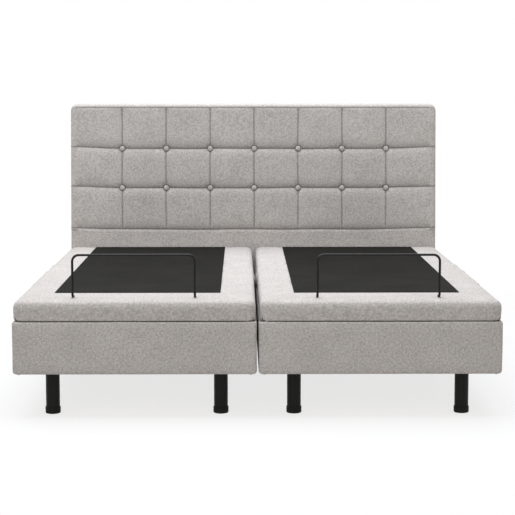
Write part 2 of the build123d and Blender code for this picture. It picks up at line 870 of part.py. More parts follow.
# ---------------------------------------------------------------- build
def make_unit(side, x_mid):
    """Every piece of one unit that has a node of its own."""
    make_box(side, x_mid)
    make_legs(side, x_mid)
    make_main_frame(side, x_mid)
    half_gap = section_gap / 2
    seat_y = (thigh_hinge_y + half_gap, back_hinge_y - half_gap)
    back_y = (back_hinge_y + half_gap, head_y - head_clearance)
    thigh_y = (knee_y + half_gap, thigh_hinge_y - half_gap)
    calf_y = (foot_y, knee_y - half_gap)
    make_section(f"{side}_seat", x_mid, seat_y, (thigh_hinge_y, back_hinge_y))
    make_section(f"{side}_back", x_mid, back_y, (back_hinge_y,), outer_end=1)
    make_section(f"{side}_thigh", x_mid, thigh_y, (thigh_hinge_y,))
    make_section(f"{side}_calf", x_mid, calf_y, (), outer_end=-1)
    make_back_frame(side, x_mid)
    make_thigh_frame(side, x_mid)
    make_calf_frame(side, x_mid)
    make_calf_link(side, x_mid)
    make_retainer_bar(side, x_mid)
    make_lift_shaft(f"{side}_head", x_mid, head_shaft_y, 1, back_travel)
    make_lift_shaft(f"{side}_foot", x_mid, foot_shaft_y, -1, leg_travel)
    make_casing(side, x_mid)


make_headboard()
make_leg_caps()
make_shaft_bearings()
make_hinge_pins()
make_drive_lids()
make_drive_motors()
make_drive_spindles()
make_power_supplies()
make_drive_leads()
make_unit("left", -unit_mid)
make_unit("right", unit_mid)
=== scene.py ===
"""The finished look of a pair of motorised bed bases that share one tufted headboard."""

import logging
import math
from collections.abc import Callable, Iterable, Sequence
from dataclasses import dataclass, field
from enum import Enum

import bmesh
import bpy
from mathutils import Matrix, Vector, noise
from mathutils.bvhtree import BVHTree


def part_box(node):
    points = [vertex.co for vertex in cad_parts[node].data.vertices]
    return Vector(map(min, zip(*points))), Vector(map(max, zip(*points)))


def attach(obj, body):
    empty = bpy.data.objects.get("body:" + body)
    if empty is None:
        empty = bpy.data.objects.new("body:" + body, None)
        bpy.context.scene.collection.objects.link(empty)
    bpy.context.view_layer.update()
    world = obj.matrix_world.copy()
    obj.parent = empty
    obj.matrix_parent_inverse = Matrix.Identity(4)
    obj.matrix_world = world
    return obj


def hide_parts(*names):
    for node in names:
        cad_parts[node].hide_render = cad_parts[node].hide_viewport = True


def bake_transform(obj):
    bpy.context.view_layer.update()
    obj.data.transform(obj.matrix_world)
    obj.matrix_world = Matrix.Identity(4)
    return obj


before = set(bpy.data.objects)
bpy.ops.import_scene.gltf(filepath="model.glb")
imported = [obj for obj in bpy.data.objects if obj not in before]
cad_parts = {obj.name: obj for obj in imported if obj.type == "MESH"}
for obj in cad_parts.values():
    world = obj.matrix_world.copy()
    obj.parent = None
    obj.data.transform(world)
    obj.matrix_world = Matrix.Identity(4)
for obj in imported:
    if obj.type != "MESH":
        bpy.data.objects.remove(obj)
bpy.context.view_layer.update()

log = logging.getLogger("bed")

Point = tuple[float, float, float]
Colour = tuple[float, float, float]
Piece = bpy.types.Object
Socket = bpy.types.NodeSocket
Material = bpy.types.Material
SIDES = ("left", "right")
YARN_LIGHT = (0.545, 0.513, 0.485)
YARN_DARK = (0.275, 0.257, 0.24)
PLAIN_PADS: dict[str, tuple[bpy.types.Mesh, float]] = {}


# ---- shader maths
class Value:
    """A number socket that Python arithmetic extends with Math nodes."""

    def __init__(self, paint: "Paint", socket: Socket) -> None:
        """Wrap one output socket of a paint's node tree."""
        self.paint = paint
        self.socket = socket

    def _math(self, operation: str, *operands: "Value | float") -> "Value":
        """Add a Math node over the given operands."""
        found = self.paint.node("ShaderNodeMath", {"operation": operation}, dict(enumerate(operands)))
        return Value(self.paint, found.outputs[0])

    def __add__(self, other: "Value | float") -> "Value":
        """Sum."""
        return self._math("ADD", self, other)

    def __mul__(self, other: "Value | float") -> "Value":
        """Product."""
        return self._math("MULTIPLY", self, other)

    def __sub__(self, other: "Value | float") -> "Value":
        """Difference."""
        return self._math("SUBTRACT", self, other)

    def __rsub__(self, other: float) -> "Value":
        """Difference with a number on the left."""
        return self._math("SUBTRACT", other, self)

    def __pow__(self, power: float) -> "Value":
        """Power."""
        return self._math("POWER", self, power)

    def ramp(self, low: float, high: float, to_low: float = 0.0, to_high: float = 1.0) -> "Value":
        """Stretch a range of this value to another, held at both ends."""
        inputs = {0: self, 1: low, 2: high, 3: to_low, 4: to_high}
        found = self.paint.node("ShaderNodeMapRange", {"clamp": True}, inputs)
        return Value(self.paint, found.outputs[0])


class Paint:
    """One procedural material: a node tree that ends in a principled shader."""

    def __init__(self, name: str) -> None:
        """Start an empty material with its shader and its output."""
        self.material = bpy.data.materials.new(name)
        self.material.use_nodes = True
        self.tree = self.material.node_tree
        self.tree.nodes.clear()
        self.shader = self.node("ShaderNodeBsdfPrincipled")
        self.node("ShaderNodeOutputMaterial", {}, {"Surface": self.shader.outputs[0]})
        self.place = self.node("ShaderNodeTexCoord").outputs["Object"]

    def node(self, kind: str, settings: dict | None = None, inputs: dict | None = None) -> bpy.types.Node:
        """Add any node.

        Args:
            kind: The node's type.
            settings: Attributes set first.
            inputs: Values, sockets or Value objects by socket name or index.

        Returns:
            The new node.
        """
        made = self.tree.nodes.new(kind)
        for key, setting in (settings or {}).items():
            setattr(made, key, setting)
        for key, given in (inputs or {}).items():
            source = given.socket if isinstance(given, Value) else given
            if isinstance(source, Socket):
                self.tree.links.new(source, made.inputs[key])
            else:
                made.inputs[key].default_value = source
        return made

    def stretched(self, scale: Point) -> Socket:
        """Object coordinates multiplied along each axis."""
        return self.node("ShaderNodeMapping", {}, {"Vector": self.place, "Scale": scale}).outputs[0]

    def noise(
        self, scale: float, detail: float = 2.0, stretch: Point = (1, 1, 1), rough: float = 0.5
    ) -> Value:
        """A noise value, finer for a larger scale and drawn out where stretch is small."""
        inputs = {"Vector": self.stretched(stretch), "Scale": scale, "Detail": detail, "Roughness": rough}
        return Value(self, self.node("ShaderNodeTexNoise", {}, inputs).outputs["Fac"])

    def cells(self, scale: float, stretch: Point = (1, 1, 1)) -> Value:
        """Distance to the nearest of many scattered points."""
        inputs = {"Vector": self.stretched(stretch), "Scale": scale}
        return Value(self, self.node("ShaderNodeTexVoronoi", {}, inputs).outputs["Distance"])

    def blend(
        self, mask: Value, first: Colour | Socket, second: Colour
    ) -> Socket:
        """Mix two colours by a mask."""
        ends = [(*end, 1.0) if isinstance(end, tuple) else end for end in (first, second)]
        made = self.node("ShaderNodeMix", {"data_type": "RGBA"}, {0: mask, 6: ends[0], 7: ends[1]})
        return made.outputs[2]

    def finish(
        self, colour: Socket, height: Value, depth: float, rough: Value | float, **fixed: float
    ) -> Material:
        """Connect the shader.

        Args:
            colour: Base colour over the surface.
            height: Relief, from 0 to 1.
            depth: The relief's real depth in metres.
            rough: Roughness, a number or a value over the surface.
            fixed: Constants set on the shader's own sockets, with _ for a space.

        Returns:
            The finished material.
        """
        links = self.tree.links
        links.new(colour, self.shader.inputs["Base Color"])
        bump = self.node("ShaderNodeBump", {}, {"Height": height, "Distance": depth, "Strength": 1.0})
        links.new(bump.outputs[0], self.shader.inputs["Normal"])
        if isinstance(rough, Value):
            links.new(rough.socket, self.shader.inputs["Roughness"])
        else:
            self.shader.inputs["Roughness"].default_value = rough
        for name, number in fixed.items():
            self.shader.inputs[name.replace("_", " ")].default_value = number
        return self.material


# ---- finishes
@dataclass(frozen=True)
class WovenFabric:
    """A melange upholstery weave: slubby yarns both ways, light and dark flecks, a soft nap."""

    name: str
    light: Colour
    dark: Colour
    yarns_per_metre: float = 420.0
    relief: float = 0.0009
    sheen: float = 0.1
    # colour of the painted shade in the headboard's seams and round its buttons
    shade: Colour = (0.09, 0.083, 0.075)

    def material(self) -> Material:
        """Build the weave."""
        paint = Paint(self.name)
        along, across = 1.0, 0.28
        warp = paint.noise(self.yarns_per_metre, 2, (along, along, across))
        weft = paint.noise(self.yarns_per_metre, 2, (across, along, along))
        depth = paint.noise(self.yarns_per_metre, 2, (along, across, along))
        nubs = paint.cells(self.yarns_per_metre * 0.8)
        fleck = paint.noise(self.yarns_per_metre * 0.33, 3, rough=0.65)
        drift = paint.noise(9, 3, rough=0.6)
        yarn = (warp + weft + depth) * (1 / 3)
        tone = yarn.ramp(0.36, 0.64) * 0.3 + fleck.ramp(0.38, 0.62) * 0.55 + drift.ramp(0.3, 0.7) * 0.15
        # painted shade: an attribute noted on the headboard pad darkens the weave towards the shade colour
        # along its seams and round its buttons
        seam_shade = Value(paint, paint.node("ShaderNodeAttribute", {"attribute_name": "seam_shade"}).outputs["Fac"])
        woven = paint.blend(tone, self.dark, self.light)
        colour = paint.blend(seam_shade * 0.75, woven, self.shade)
        height = yarn * 0.6 + (1 - nubs) * 0.25 + fleck * 0.4
        paint.shader.inputs["Sheen Weight"].default_value = self.sheen
        paint.shader.inputs["Sheen Roughness"].default_value = 0.6
        return paint.finish(colour, height, self.relief, tone.ramp(0, 1, 0.98, 0.86), Specular_IOR_Level=0.1)


@dataclass(frozen=True)
class GripCloth:
    """A tight dark technical cloth with a fine square grid."""

    name: str
    light: Colour
    dark: Colour
    # near-black colour of the painted shade towards the head end
    wear_and_shade: Colour = (0.007, 0.0068, 0.006)

    def material(self) -> Material:
        """Build the cloth."""
        paint = Paint(self.name)
        warp = paint.noise(700, 1, (1, 0.2, 1))
        weft = paint.noise(700, 1, (0.2, 1, 1))
        fade = paint.noise(5, 3)
        weave = (warp + weft) * 0.5
        tone = weave.ramp(0.38, 0.62) * 0.7 + fade.ramp(0.3, 0.7) * 0.3
        # painted shade: towards the head end the cloth is blended up to 60% of the way to a near-black
        # colour
        along = Value(paint, paint.node("ShaderNodeSeparateXYZ", {}, {0: paint.place}).outputs[1])
        woven = paint.blend(tone, self.dark, self.light)
        colour = paint.blend(along.ramp(-0.6, 0.9, 0.0, 0.6), woven, self.wear_and_shade)
        return paint.finish(colour, weave, 0.0005, tone.ramp(0, 1, 0.92, 0.8), Specular_IOR_Level=0.05)


@dataclass(frozen=True)
class Lacquer:
    """Black or grey paint with a fine orange peel and duller patches of wear."""

    name: str
    colour: Colour
    wear_and_shade: Colour
    rough: float
    grain: float = 900.0
    relief: float = 0.00008
    coat: float = 0.0
    gloss: float = 0.5

    def material(self) -> Material:
        """Build the paint."""
        paint = Paint(self.name)
        peel = paint.noise(self.grain, 2)
        handling = paint.noise(14, 4, rough=0.6)
        wear = handling.ramp(0.5, 0.75)
        colour = paint.blend(wear * 0.6, self.colour, self.wear_and_shade)
        rough = (wear * 0.12 + peel * 0.06) + self.rough
        coat = {"Coat_Weight": self.coat, "Coat_Roughness": 0.15}
        return paint.finish(colour, peel, self.relief, rough, Specular_IOR_Level=self.gloss, **coat)


@dataclass(frozen=True)
class Timber:
    """Planed softwood or birch plywood, with grain drawn out along the bed."""

    name: str
    light: Colour
    dark: Colour
    stretch: Point = (1.0, 0.06, 1.0)

    def material(self) -> Material:
        """Build the grain."""
        paint = Paint(self.name)
        rings = paint.noise(38, 4, self.stretch, 0.6)
        fibre = paint.noise(420, 2, self.stretch)
        bands = (rings * 9.0)._math("FRACT", rings * 9.0)
        tone = bands.ramp(0.0, 1.0) * 0.5 + fibre.ramp(0.3, 0.7) * 0.5
        colour = paint.blend(tone, self.dark, self.light)
        return paint.finish(colour, fibre, 0.0003, tone.ramp(0, 1, 0.72, 0.55))


@dataclass(frozen=True)
class Zinc:
    """Zinc-plated steel with a cloudy, slightly brushed surface."""

    name: str
    colour: Colour = (0.62, 0.63, 0.65)
    dull: Colour = (0.42, 0.43, 0.44)

    def material(self) -> Material:
        """Build the plating."""
        paint = Paint(self.name)
        cloud = paint.noise(60, 4, rough=0.65)
        brushed = paint.noise(1100, 1, (1, 0.1, 1))
        colour = paint.blend(cloud.ramp(0.35, 0.7), self.colour, self.dull)
        return paint.finish(colour, brushed, 0.00005, cloud.ramp(0.3, 0.7, 0.28, 0.45), Metallic=1.0)


class Finish(Enum):
    """Every finish on the bed, as the record's material slot and its recipe."""

    BORDER = ("border_fabric", WovenFabric("border_weave", YARN_LIGHT, YARN_DARK))
    HEADBOARD = ("headboard_fabric", WovenFabric("headboard_weave", YARN_LIGHT, YARN_DARK))
    GRIP = ("deck_fabric", GripCloth("grip_cloth", (0.020, 0.0193, 0.0155), (0.008, 0.0077, 0.0062)))
    DUST = ("deck_fabric", GripCloth("dust_cloth", (0.04, 0.04, 0.042), (0.02, 0.02, 0.021)))
    # painted shade: the boards are given a near-black colour so that the gaps between the deck pads read
    # dark
    PLYWOOD = ("plywood", Timber("shade_darkened_ply", (0.10, 0.075, 0.055), (0.05, 0.038, 0.028)))
    TIMBER = ("timber", Timber("planed_pine", (0.70, 0.53, 0.33), (0.50, 0.34, 0.19)))
    ROD = ("black_steel", Lacquer("rod_enamel", (0.004,) * 3, (0.009,) * 3, 0.3, coat=0.08, gloss=0.25))
    FRAME = (
        "frame_steel",
        Lacquer("frame_powder", (0.028, 0.029, 0.031), (0.05, 0.051, 0.054), 0.5, 1600, 0.00015),
    )
    ZINC = ("zinc_steel", Zinc("zinc_plate"))
    LEG = (
        "leg_plastic",
        Lacquer("leg_lacquer", (0.006, 0.006, 0.0055), (0.012, 0.012, 0.011), rough=0.36, gloss=0.2),
    )
    CAP = ("cap_plastic", Lacquer("cap_moulding", (0.006,) * 3, (0.012,) * 3, 0.5, 1400, 0.0002, gloss=0.2))
    DRIVE = (
        "drive_plastic",
        Lacquer("drive_moulding", (0.02, 0.02, 0.021), (0.032, 0.032, 0.034), 0.55, 1200, 0.0002),
    )
    NYLON = ("nylon", Lacquer("nylon_moulding", (0.66, 0.64, 0.58), (0.52, 0.5, 0.44), rough=0.45))
    LEAD = ("lead_pvc", Lacquer("lead_sheath", (0.01,) * 3, (0.02,) * 3, rough=0.5))

    @property
    def slot(self) -> str:
        """The record's slot name."""
        return self.value[0]

    def paint(self) -> Material:
        """The finish's material, built once."""
        recipe = self.value[1]
        return bpy.data.materials.get(recipe.name) or recipe.material()


# ---- modelling by hand
def deselect() -> None:
    """Leave object mode's selection empty."""
    bpy.ops.object.select_all(action="DESELECT")


def activate(piece: Piece) -> None:
    """Make one piece the only selected and active object."""
    deselect()
    piece.select_set(True)
    bpy.context.view_layer.objects.active = piece


def settle(piece: Piece) -> None:
    """Move a piece's place, turn and scale into its mesh."""
    activate(piece)
    bpy.ops.object.transform_apply(location=True, rotation=True, scale=True)


def block(name: str, low: Sequence[float], high: Sequence[float]) -> Piece:
    """Start a piece from a cube between two corners."""
    deselect()
    size = [top - bottom for bottom, top in zip(low, high)]
    middle = [(top + bottom) / 2 for bottom, top in zip(low, high)]
    bpy.ops.mesh.primitive_cube_add(size=1, location=middle, scale=size)
    piece = bpy.context.object
    piece.name = name
    settle(piece)
    return piece


def edit(piece: Piece, kind: str) -> None:
    """Enter edit mode for one kind of element, with nothing selected."""
    activate(piece)
    bpy.ops.object.mode_set(mode="EDIT")
    bpy.ops.mesh.select_mode(type=kind)
    bpy.ops.mesh.select_all(action="DESELECT")


def bevel_edges(
    piece: Piece, wanted: Callable[[Vector, Vector], bool], width: float, steps: int
) -> None:
    """Round the edges whose two end points pass a test."""
    edit(piece, "EDGE")
    mesh = bmesh.from_edit_mesh(piece.data)
    chosen = [edge for edge in mesh.edges if wanted(edge.verts[0].co, edge.verts[1].co)]
    for edge in chosen:
        edge.select_set(True)
    bmesh.update_edit_mesh(piece.data)
    if chosen:
        bpy.ops.mesh.bevel(offset=width, segments=steps, profile=0.5, affect="EDGES")
    bpy.ops.object.mode_set(mode="OBJECT")


def modify(piece: Piece, kind: str, **settings: object) -> None:
    """Add a modifier, set it and apply it."""
    made = piece.modifiers.new(kind.lower(), kind)
    for key, setting in settings.items():
        setattr(made, key, setting)
    activate(piece)
    bpy.ops.object.modifier_apply(modifier=made.name)


def subdivide(piece: Piece, levels: int = 1) -> None:
    """Smooth a piece by subdivision."""
    modify(piece, "SUBSURF", levels=levels, render_levels=levels)


def smooth(piece: Piece, degrees: float = 40.0) -> None:
    """Shade a piece smooth, with creases kept above an angle."""
    activate(piece)
    bpy.ops.object.shade_smooth_by_angle(angle=math.radians(degrees))


def dress(piece: Piece, finish: Finish, body: str | None) -> None:
    """Give a new piece its finish and, if a body is given, the body that it rides on."""
    piece.data.materials.clear()
    piece.data.materials.append(finish.paint())
    if body:
        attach(piece, body)
    log.info("%s: %d faces", piece.name, len(piece.data.polygons))


def reshape(piece: Piece, move: Callable[[Vector], Vector]) -> None:
    """Move every vertex of a mesh by a rule."""
    for vertex in piece.data.vertices:
        vertex.co = move(vertex.co.copy())
    piece.data.update()


def inflate(
    piece: Piece, held: Callable[[Vector], bool], pressure: float, travel: float, slack: float = 0.0
) -> None:
    """Swell a padded piece by cloth simulation and keep the result.

    Args:
        piece: The mesh, a little smaller than it should end.
        held: Which points stay where they are.
        pressure: The air pressure inside.
        travel: The furthest that a point may move.
        slack: How much larger the fabric is cut than the shape it covers.
    """
    rest = [vertex.co.copy() for vertex in piece.data.vertices]
    pins = piece.vertex_groups.new(name="held")
    pins.add([index for index, place in enumerate(rest) if held(place)], 1.0, "REPLACE")
    cloth = piece.modifiers.new("cloth", "CLOTH")
    settings = cloth.settings
    settings.vertex_group_mass = pins.name
    settings.use_pressure = True
    settings.uniform_pressure_force = pressure
    settings.effector_weights.gravity = 0
    settings.quality = 4
    settings.shrink_min = -slack
    settings.tension_stiffness = 30
    settings.compression_stiffness = 30
    settings.bending_stiffness = 1.5
    scene = bpy.context.scene
    for step in range(1, 21):
        scene.frame_set(step)
    swollen = piece.evaluated_get(bpy.context.evaluated_depsgraph_get()).data
    moved = [vertex.co.copy() for vertex in swollen.vertices]
    piece.modifiers.remove(cloth)
    piece.vertex_groups.remove(pins)
    scene.frame_set(1)
    for vertex, start, end in zip(piece.data.vertices, rest, moved):
        step = end - start
        if step.length > travel:
            step *= travel / step.length
        vertex.co = start + step
    piece.data.update()


def spread(edges: Sequence[float], coarse: float, near: Sequence[float]) -> list[float]:
    """Grid lines that crowd round the given places.

    Args:
        edges: The places, in order, the first and the last included.
        coarse: The widest spacing between lines.
        near: Distances of the extra lines on both sides of each place.

    Returns:
        The lines in order.
    """
    lines = set()
    for low, high in zip(edges, edges[1:]):
        inner = [low + reach for reach in near if reach < (high - low) / 2]
        outer = [high - reach for reach in near if reach < (high - low) / 2]
        gap_low, gap_high = inner[-1], outer[-1]
        steps = max(1, math.ceil((gap_high - gap_low) / coarse))
        lines.update(inner + outer)
        lines.update(gap_low + (gap_high - gap_low) * step / steps for step in range(steps + 1))
    return sorted({round(line, 6) for line in lines})


def grid(
    name: str, across: Sequence[float], up: Sequence[float], place: Callable[[float, float], Point]
) -> Piece:
    """Start a sheet from a grid whose lines lie at the given distances.

    Args:
        name: The new piece's name.
        across: Places of the lines one way.
        up: Places of the lines the other way.
        place: Where the point at one crossing goes.

    Returns:
        The new piece.
    """
    deselect()
    bpy.ops.mesh.primitive_grid_add(x_subdivisions=len(across) - 1, y_subdivisions=len(up) - 1, size=1)
    piece = bpy.context.object
    piece.name = name
    for vertex in piece.data.vertices:
        column = round((vertex.co.x + 0.5) * (len(across) - 1))
        row = round((vertex.co.y + 0.5) * (len(up) - 1))
        vertex.co = place(across[column], up[row])
    piece.data.update()
    return piece


def edit_rim(piece: Piece) -> None:
    """Enter edit mode with only a sheet's open rim selected."""
    edit(piece, "EDGE")
    bpy.ops.mesh.select_non_manifold(
        extend=False, use_wire=False, use_multi_face=False, use_non_contiguous=False, use_verts=False
    )


def shell(piece: Piece, steps: Iterable[Point]) -> None:
    """Extrude a sheet's rim through the given moves."""
    edit_rim(piece)
    for step in steps:
        bpy.ops.mesh.extrude_region_move(TRANSFORM_OT_translate={"value": step})
    bpy.ops.object.mode_set(mode="OBJECT")


def cap_back(piece: Piece) -> None:
    """Close a shell's hidden side with one flat face and turn every face outward."""
    edit_rim(piece)
    bpy.ops.mesh.edge_face_add()
    bpy.ops.mesh.select_all(action="SELECT")
    bpy.ops.mesh.normals_make_consistent(inside=False)
    bpy.ops.object.mode_set(mode="OBJECT")


# ---- headboard
@dataclass
class Headboard:
    """The tufted headboard: its pad, fabric buttons, wrapped back and dust cover."""

    corner: float = 0.035
    roll: float = 0.020
    seam_depth: float = 0.011
    button_depth: float = 0.017
    puff_reach: float = 0.014
    button_radius: float = 0.0125
    border_row: float = 1.117
    lean: float = 0.0075
    seam_shift: float = 0.003
    upright_width: float = 0.004
    upright_puff: float = 0.03
    border_depth: float = 0.0035
    border_width: float = 0.003
    side_margin: float = 0.02
    button_reach: float = 0.021
    button_range: float = 0.11
    pucker_depth: float = 0.0009
    pucker_radius: float = 0.032
    pucker_width: float = 0.018
    pucker_count: int = 8
    mark_width: float = 0.0032
    full: float = 0.0015
    taper_from: float = 0.441
    cover_margin: float = 0.034
    button_pitch: float = 0.216
    rows: tuple[float, ...] = (0.523, 0.727, 0.919)
    buttoned_rows: tuple[float, ...] = (0.727, 0.919)
    low: Vector = field(default_factory=lambda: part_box("headboard_pad")[0])
    high: Vector = field(default_factory=lambda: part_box("headboard_pad")[1])

    @property
    def columns(self) -> list[float]:
        """X of every upright seam."""
        return [step * self.button_pitch + self.seam_shift for step in range(-3, 4)]

    def build(self) -> None:
        """Make and dress every piece."""
        self.make_pad()
        self.make_buttons()
        self.make_back()

    def seam_wander(self, along: float, seed: float) -> float:
        """How far a hand-sewn seam strays from straight."""
        return 0.0022 * noise.noise(Vector((along * 6.0, seed * 7.3, 1.7)))

    def depth_at(self, x: float, z: float) -> float:
        """How far the front is drawn in from its fullest at one point."""
        upright = min(abs(x - column - self.seam_wander(z, column)) for column in self.columns)
        level = min(abs(z - row - self.row_rise(x) - self.seam_wander(x, row)) for row in self.rows)
        lowest = self.rows[0]
        below_border = min(1.0, max(0.0, (self.border_row - z) / 0.01))
        above_lowest = min(1.0, max(0.0, (z - lowest + 0.004) / 0.02))
        side = min(1.0, max(0.0, (self.high.x - abs(x) - self.side_margin) / self.side_margin))
        narrow = 0.45 * self.seam_depth * math.exp(-upright / self.upright_width)
        wide = self.seam_depth * 0.3 * math.exp(-upright / self.upright_puff)
        pull_up = (narrow + wide) * (below_border * above_lowest)
        pull_level = self.seam_depth * math.exp(-level / self.puff_reach) * side
        border = self.border_depth * math.exp(-abs(z - self.border_row) / self.border_width) * side
        pull = max(pull_up, pull_level) + 0.25 * min(pull_up, pull_level) + border
        for row in self.buttoned_rows:
            for column in self.columns:
                if math.hypot(x - column, z - row) < self.button_range:
                    pull += self.button_pull(x - column, z - row, column)
        if z < lowest:
            pull = max(pull, self.seam_depth * 0.45)
        return min(pull, self.button_depth)

    def button_pull(self, across: float, up: float, seed: float) -> float:
        """How far a button draws in the fabric near it, with fine puckers all round."""
        reach = math.hypot(across, up)
        ripple = math.cos(self.pucker_count * math.atan2(up, across) + seed * 31)
        ring = math.exp(-(((reach - self.pucker_radius) / self.pucker_width) ** 2))
        dent = self.button_depth * 0.55 * math.exp(-((reach / self.button_reach) ** 2))
        return dent + self.pucker_depth * ripple * ring

    def row_rise(self, x: float) -> float:
        """A level seam curves up a little towards both sides."""
        return 0.010 * max(0.0, abs(x) / self.high.x - 0.55) ** 2 / 0.2

    def outline(self, x: float, z: float) -> tuple[float, float, float]:
        """Bend a square grid's point to the outline with round upper corners.

        Returns:
            X, Z and the point's distance inside the outline.
        """
        from_side = self.high.x - abs(x)
        from_top = self.high.z - z
        inside = min(from_side, from_top)
        if from_side >= self.corner or from_top >= self.corner:
            return x, z, inside
        run = self.corner - inside
        on_side = from_side <= from_top
        along = self.corner - from_top if on_side else 2 * run - (self.corner - from_side)
        turn = math.pi / 2 * along / (2 * run) if run > 1e-6 else 0.0
        centre_x = self.high.x - self.corner
        bent_x = centre_x + run * math.cos(turn)
        bent_z = self.high.z - self.corner + run * math.sin(turn)
        return math.copysign(bent_x, x), bent_z, inside

    def surface(self, x: float, z: float) -> Point:
        """Where one crossing of the front grid goes."""
        bent_x, bent_z, inside = self.outline(x, z)
        drop = 0.0
        if inside < self.roll:
            drop = self.roll - math.sqrt(max(0.0, self.roll**2 - (self.roll - inside) ** 2))
        crown = self.full * noise.noise(Vector((x * 3.1, z * 3.7, 0.4)))
        front = self.low.y + self.depth_at(bent_x, bent_z) + drop + crown + self.full
        return bent_x, min(front, self.low.y + 2 * self.roll), bent_z

    def make_pad(self) -> None:
        """The tufted pad: a full front drawn in along its seams and at its buttons."""
        near = (0.0, 0.0025, 0.0055, 0.010, 0.016, 0.024)
        rim = (0.0, 0.002, 0.005, 0.009, 0.014, 0.020, 0.0275, 0.035)
        coarse = 0.017
        inner_x = spread([self.low.x + rim[-1], *self.columns, self.high.x - rim[-1]], coarse, near)
        inner_z = spread([self.low.z, *self.rows, self.high.z - rim[-1]], coarse, near)
        sides = {place for step in rim for place in (self.low.x + step, self.high.x - step)}
        across = sorted({*inner_x, *sides})
        border = (self.border_row + self.border_width / 2, self.border_row - self.border_width)
        up = sorted({*inner_z, *(self.high.z - step for step in rim), *border})
        pad = grid("headboard_upholstery", across, up, self.surface)
        depth = self.high.y - self.low.y - self.roll
        shell(pad, [(0, depth * 0.5, 0), (0, depth * 0.5, 0)])
        inflate(pad, self.is_sewn, pressure=1.5, travel=0.004, slack=0.015)
        reshape(pad, self.keep_inside)
        subdivide(pad)
        # painted shade for the seams and buttons, read by the fabric's material
        self.mark_seam_shade(pad)
        reshape(pad, self.taper)
        cap_back(pad)
        smooth(pad, 60)
        dress(pad, Finish.HEADBOARD, "root")
        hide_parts("headboard_pad")

    def taper(self, place: Vector) -> Vector:
        """Narrow the headboard slightly towards its top."""
        rise = max(0.0, place.z - self.taper_from) / (self.high.z - self.taper_from)
        place.x *= 1 - self.lean * rise
        return place

    def mark_seam_shade(self, pad: Piece) -> None:
        """Note on the mesh how much painted shade each point of the front takes in the seams and round the
        buttons.
        """
        front = self.low.y + self.roll
        places = [vertex.co for vertex in pad.data.vertices]
        values = [self.seam_shade_at(place.x, place.z) if place.y < front else 0.0 for place in places]
        note = pad.data.attributes.new("seam_shade", "FLOAT", "POINT")
        note.data.foreach_set("value", values)

    def seam_shade_at(self, x: float, z: float) -> float:
        """How much painted shade a seam or a button's edge puts on one point of the front, from 0 to 1."""
        upright = min(abs(x - column - self.seam_wander(z, column)) for column in self.columns)
        level = min(abs(z - row - self.row_rise(x) - self.seam_wander(x, row)) for row in self.rows)
        marks = [
            math.exp(-((level / self.mark_width) ** 2)),
            0.5 * math.exp(-(((z - self.border_row) / self.border_width) ** 2)),
        ]
        if self.rows[0] < z < self.border_row:
            marks.append(0.75 * math.exp(-((upright / self.mark_width) ** 2)))
        for row in self.buttoned_rows:
            ring = min(math.hypot(x - column, z - row) for column in self.columns) - self.button_radius
            marks.append(math.exp(-((ring / self.upright_width) ** 2)))
        return max(marks)

    def is_sewn(self, place: Vector) -> bool:
        """Points on seams, at buttons, on the rim and behind the front stay put."""
        if place.y > self.low.y + self.seam_depth * 0.9:
            return True
        if self.high.x - abs(place.x) < self.roll or self.high.z - place.z < self.roll:
            return True
        seam = min(abs(place.x - column) for column in self.columns)
        row = min(abs(place.z - row) for row in self.rows)
        return min(seam, row) < 0.003 or place.z < self.rows[0]

    def keep_inside(self, place: Vector) -> Vector:
        """Hold the swollen front within the depth that the bed has room for."""
        place.y = min(max(place.y, self.low.y - 0.002), self.high.y)
        return place

    def make_buttons(self) -> None:
        """Fourteen fabric-covered buttons, each a domed cap with its edge drawn under."""
        seat = self.low.y + self.button_depth * 0.62
        first = self.make_button()
        for row_number, row in enumerate(self.buttoned_rows):
            for column_number, column in enumerate(self.columns):
                button = first.copy()
                button.data = first.data.copy()
                button.name = f"button_{row_number + 1}_{column_number + 1}"
                bpy.context.scene.collection.objects.link(button)
                centre = Vector((column, seat, row))
                reshape(button, lambda place, c=centre: self.taper(place + c))
                dress(button, Finish.HEADBOARD, "root")
                if row_number == column_number == 0:
                    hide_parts("headboard_buttons")
        bpy.data.objects.remove(first)

    def make_button(self) -> Piece:
        """One button at the origin, to be copied."""
        deselect()
        bpy.ops.mesh.primitive_uv_sphere_add(segments=32, ring_count=16, radius=self.button_radius)
        button = bpy.context.object
        reshape(button, self.dome)
        smooth(button, 60)
        return button

    def dome(self, place: Vector) -> Vector:
        """Flatten a ball to a button: a low dome in front and a drawn-in neck behind."""
        if place.y < 0:
            place.y *= 0.42
        else:
            shrink = 1 - 0.45 * min(1.0, place.y / self.button_radius)
            place.x *= shrink
            place.z *= shrink
            place.y *= 0.5
        return place

    def make_back(self) -> None:
        """The wrapped back panel and the dark dust cover on it."""
        low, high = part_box("headboard_panel")
        panel = block("headboard_back", low, high)
        bevel_edges(panel, lambda a, b: abs(a.y - b.y) > 0.01 and a.z > high.z - 0.001, self.corner, 8)
        bevel_edges(panel, lambda a, b: min(a.y, b.y) > high.y - 0.001, 0.006, 3)
        reshape(panel, self.taper)
        smooth(panel, 40)
        dress(panel, Finish.HEADBOARD, "root")
        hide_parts("headboard_panel")
        margin = self.cover_margin
        cover_low = (low.x + margin, high.y + 0.0004, low.z + margin)
        cover_high = (high.x - margin, high.y + 0.0016, high.z - margin)
        cover = block("headboard_dust_cover", cover_low, cover_high)
        bevel_edges(cover, lambda a, b: abs(a.y - b.y) > 0.0005, 0.012, 4)
        dress(cover, Finish.DUST, "root")


